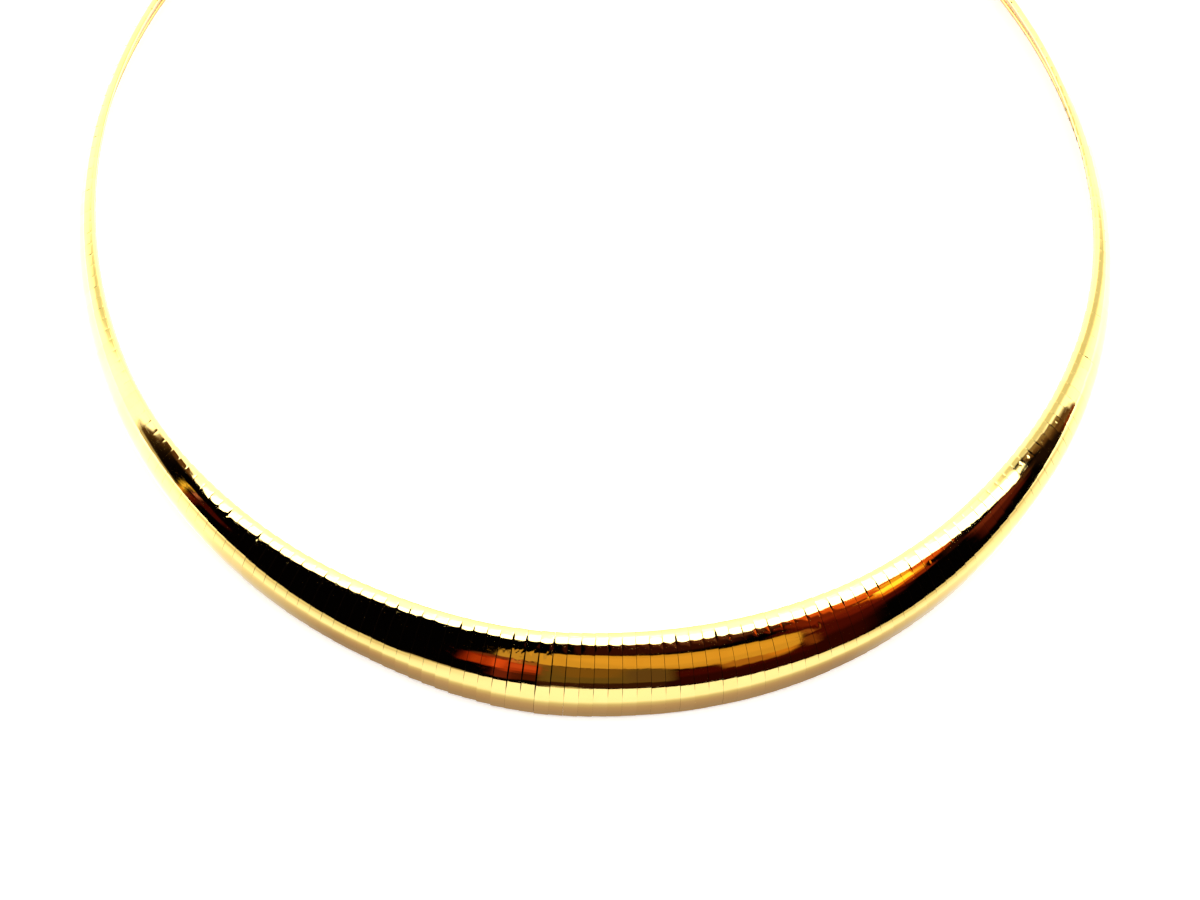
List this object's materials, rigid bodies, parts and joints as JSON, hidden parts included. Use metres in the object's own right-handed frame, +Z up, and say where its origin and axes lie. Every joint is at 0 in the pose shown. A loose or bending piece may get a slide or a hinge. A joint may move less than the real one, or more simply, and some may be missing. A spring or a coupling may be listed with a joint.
{
  "type": "omega necklace",
  "caption": "Graduated domed omega collar: narrow polished gold plates side by side on a ribbon, wide at the front, tapering to a plain clasp at the back, lying open.",
  "frame": {"origin": "centre of the bounding box at its base, on the surface that the collar lies on", "axes": "+Z up from the surface, -Y to the wide front of the collar, +Y to the clasp, +X to the right of the front"},
  "size_m": [0.1296, 0.136, 0.0088],
  "materials": {
    "gold_band": "mirror-polished yellow gold",
    "gold_clasp": "polished yellow gold"
  },
  "bodies": {
    "root": {"band_front": "gold_band", "band_front_left": "gold_band", "band_side_left": "gold_band", "band_back_left": "gold_band", "band_front_right": "gold_band", "band_side_right": "gold_band", "band_back_right": "gold_band", "clasp": "gold_clasp"}
  },
  "joints": []
}
